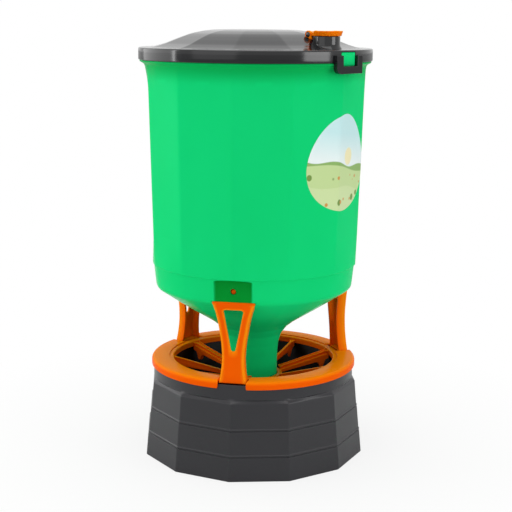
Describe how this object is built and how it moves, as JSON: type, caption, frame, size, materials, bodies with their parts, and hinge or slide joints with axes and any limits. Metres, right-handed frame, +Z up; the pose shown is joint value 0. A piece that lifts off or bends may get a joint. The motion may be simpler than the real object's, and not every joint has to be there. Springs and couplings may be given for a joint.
{
  "type": "poultry feeder",
  "caption": "Faceted feed hopper on legs over a spoked feeding grille and pan, with a domed lid, filler neck and hinged cap.",
  "frame": {"origin": "on the floor, at the centre of the pedestal", "axes": "+Z up along the hopper's axis, -Y towards the front with the filler neck, +X to the right seen from the front"},
  "size_m": [0.3, 0.3122, 0.5557],
  "materials": {
    "green": "gloss",
    "orange": "satin",
    "lid_grey": "gloss",
    "base_grey": "satin",
    "pan_grey": "matte",
    "pin_black": "gloss"
  },
  "bodies": {
    "base": {"base_pedestal": "base_grey", "feed_pan": "pan_grey"},
    "tower": {"grille_ring": "orange", "grille_hub": "orange", "grille_spoke_1": "orange", "grille_spoke_2": "orange", "grille_spoke_3": "orange", "grille_spoke_4": "orange", "grille_spoke_5": "orange", "grille_spoke_6": "orange", "grille_spoke_7": "orange", "grille_spoke_8": "orange", "grille_spoke_9": "orange", "leg_rear": "orange", "leg_left": "orange", "leg_right": "orange", "hopper": "green"},
    "top": {"lid": "lid_grey", "cap_hinge_pin": "pin_black"},
    "cap": {"filler_cap": "orange"}
  },
  "joints": [
    {"name": "tower_lift", "type": "slide", "parent": "base", "child": "tower", "axis": [0, 0, 1], "range_m": [0, 0.06]},
    {"name": "lid_lift", "type": "slide", "parent": "tower", "child": "top", "axis": [0, 0, 1], "range_m": [0, 0.08]},
    {"name": "cap_hinge", "type": "hinge", "parent": "top", "child": "cap", "pos_m": [0, -0.0933, 0.55], "axis": [-1, 0, 0], "range_deg": [0, 140]}
  ]
}
